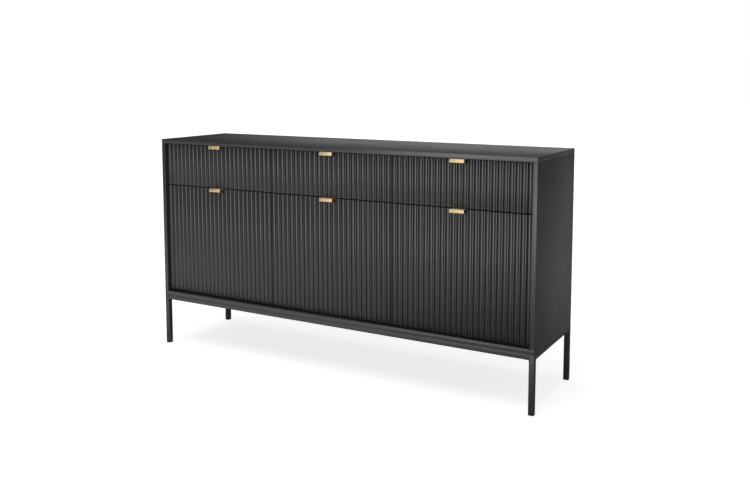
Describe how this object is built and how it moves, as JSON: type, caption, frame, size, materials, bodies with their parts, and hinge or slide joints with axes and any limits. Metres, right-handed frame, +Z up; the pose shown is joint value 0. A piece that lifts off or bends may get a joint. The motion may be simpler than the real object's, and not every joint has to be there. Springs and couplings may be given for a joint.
{
  "type": "sideboard buffet",
  "caption": "Low wide sideboard with fluted drawer fronts over fluted doors, folded edge pulls and a slim square-tube base with legs at the corners.",
  "frame": {"origin": "on the floor, under the middle of the whole object with its handles", "axes": "+X to the viewer's right along the width, +Y towards the back panel, +Z up; the drawers and doors face -Y"},
  "size_m": [1.54, 0.3976, 0.822],
  "materials": {
    "board": "matte black faced board",
    "lacquer": "satin black lacquer on fibreboard",
    "base_steel": "fine-textured black powder coat on steel tube",
    "handle_brass": "fine brushed brass",
    "back_board": "thin dark hardboard",
    "drawer_board": "grey foil-faced board",
    "zinc_steel": "zinc-plated steel",
    "nickel": "nickel-plated steel",
    "glide_plastic": "black plastic"
  },
  "bodies": {
    "carcass": {"top_panel": "board", "bottom_panel": "board", "left_side_panel": "board", "right_side_panel": "board", "left_divider": "board", "right_divider": "board", "back_panel": "back_board", "left_shelf": "board", "middle_shelf": "board", "right_shelf": "board", "left_side_frame": "base_steel", "right_side_frame": "base_steel", "front_long_rail": "base_steel", "rear_long_rail": "base_steel", "front_left_glide": "glide_plastic", "rear_left_glide": "glide_plastic", "front_right_glide": "glide_plastic", "rear_right_glide": "glide_plastic", "left_drawer_left_cabinet_runner": "zinc_steel", "left_drawer_right_cabinet_runner": "zinc_steel", "middle_drawer_left_cabinet_runner": "zinc_steel", "middle_drawer_right_cabinet_runner": "zinc_steel", "right_drawer_left_cabinet_runner": "zinc_steel", "right_drawer_right_cabinet_runner": "zinc_steel", "left_door_lower_hinge_arm": "nickel", "left_door_upper_hinge_arm": "nickel", "middle_door_lower_hinge_arm": "nickel", "middle_door_upper_hinge_arm": "nickel", "right_door_lower_hinge_arm": "nickel", "right_door_upper_hinge_arm": "nickel"},
    "left_drawer": {"left_drawer_front": "lacquer", "left_drawer_handle": "handle_brass", "left_drawer_wrap": "drawer_board", "left_drawer_bottom": "back_board", "left_drawer_left_drawer_runner": "zinc_steel", "left_drawer_right_drawer_runner": "zinc_steel"},
    "middle_drawer": {"middle_drawer_front": "lacquer", "middle_drawer_handle": "handle_brass", "middle_drawer_wrap": "drawer_board", "middle_drawer_bottom": "back_board", "middle_drawer_left_drawer_runner": "zinc_steel", "middle_drawer_right_drawer_runner": "zinc_steel"},
    "right_drawer": {"right_drawer_front": "lacquer", "right_drawer_handle": "handle_brass", "right_drawer_wrap": "drawer_board", "right_drawer_bottom": "back_board", "right_drawer_left_drawer_runner": "zinc_steel", "right_drawer_right_drawer_runner": "zinc_steel"},
    "left_door": {"left_door": "lacquer", "left_door_handle": "handle_brass", "left_door_lower_hinge_cup": "nickel", "left_door_upper_hinge_cup": "nickel"},
    "middle_door": {"middle_door": "lacquer", "middle_door_handle": "handle_brass", "middle_door_lower_hinge_cup": "nickel", "middle_door_upper_hinge_cup": "nickel"},
    "right_door": {"right_door": "lacquer", "right_door_handle": "handle_brass", "right_door_lower_hinge_cup": "nickel", "right_door_upper_hinge_cup": "nickel"}
  },
  "joints": [
    {"name": "left_drawer_slide", "type": "slide", "parent": "carcass", "child": "left_drawer", "axis": [0, -1, 0], "range_m": [0, 0.24]},
    {"name": "middle_drawer_slide", "type": "slide", "parent": "carcass", "child": "middle_drawer", "axis": [0, -1, 0], "range_m": [0, 0.24]},
    {"name": "right_drawer_slide", "type": "slide", "parent": "carcass", "child": "right_drawer", "axis": [0, -1, 0], "range_m": [0, 0.24]},
    {"name": "left_door_hinge", "type": "hinge", "parent": "carcass", "child": "left_door", "pos_m": [-0.751, -0.17825, 0.4285], "axis": [0, 0, -1], "range_deg": [0, 90]},
    {"name": "middle_door_hinge", "type": "hinge", "parent": "carcass", "child": "middle_door", "pos_m": [-0.24933, -0.17825, 0.4285], "axis": [0, 0, -1], "range_deg": [0, 90]},
    {"name": "right_door_hinge", "type": "hinge", "parent": "carcass", "child": "right_door", "pos_m": [0.751, -0.17825, 0.4285], "axis": [0, 0, 1], "range_deg": [0, 90]}
  ]
}
